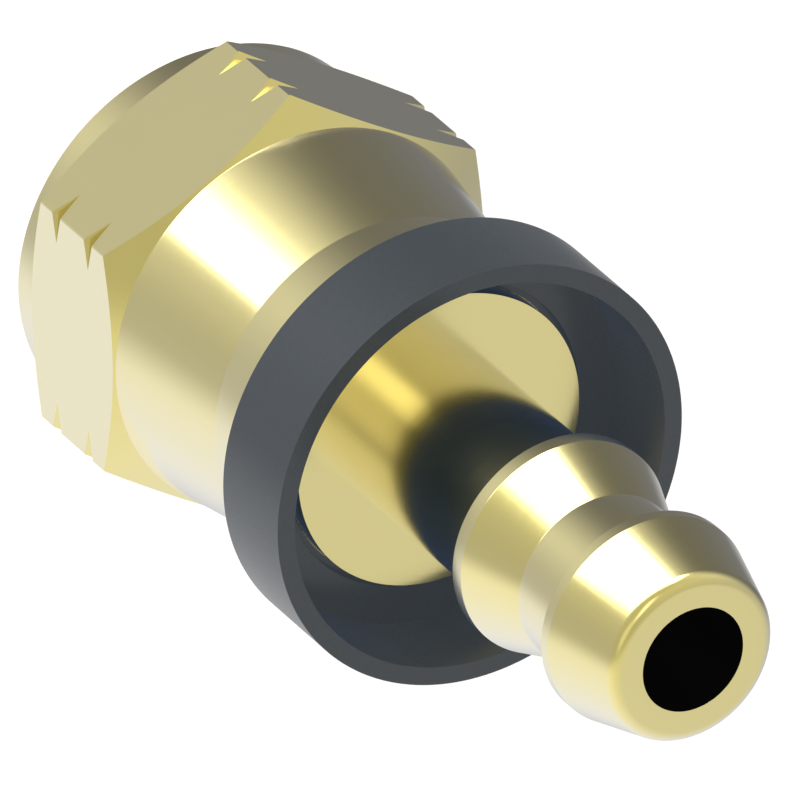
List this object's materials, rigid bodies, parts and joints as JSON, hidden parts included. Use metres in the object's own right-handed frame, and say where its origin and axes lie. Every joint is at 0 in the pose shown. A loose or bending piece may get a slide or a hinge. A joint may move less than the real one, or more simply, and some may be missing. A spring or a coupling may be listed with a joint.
{
  "type": "socketless hose fitting",
  "caption": "Straight push-on barbed hose fitting with a female hexagon swivel nut and a cupped collar that hides the hose end.",
  "frame": {"origin": "centre of the nut's open face, on which the fitting stands", "axes": "+Z along the bore towards the hose end, +X through a corner of the nut's hexagon"},
  "size_m": [0.0166, 0.0154, 0.0323],
  "materials": {
    "nipple_brass": "turned brass, bright, with faint tool rings",
    "nut_brass": "turned skirt and lands, flats of drawn hexagon bar",
    "collar_plastic": "moulded dark slate plastic, satin"
  },
  "bodies": {
    "hose_end": {"nipple": "nipple_brass", "collar": "collar_plastic"},
    "nut": {"swivel_nut": "nut_brass"}
  },
  "joints": [
    {"name": "nut_swivel", "type": "hinge", "parent": "hose_end", "child": "nut", "pos_m": [0, 0, 0.013], "axis": [0, 0, 1], "continuous": true}
  ]
}
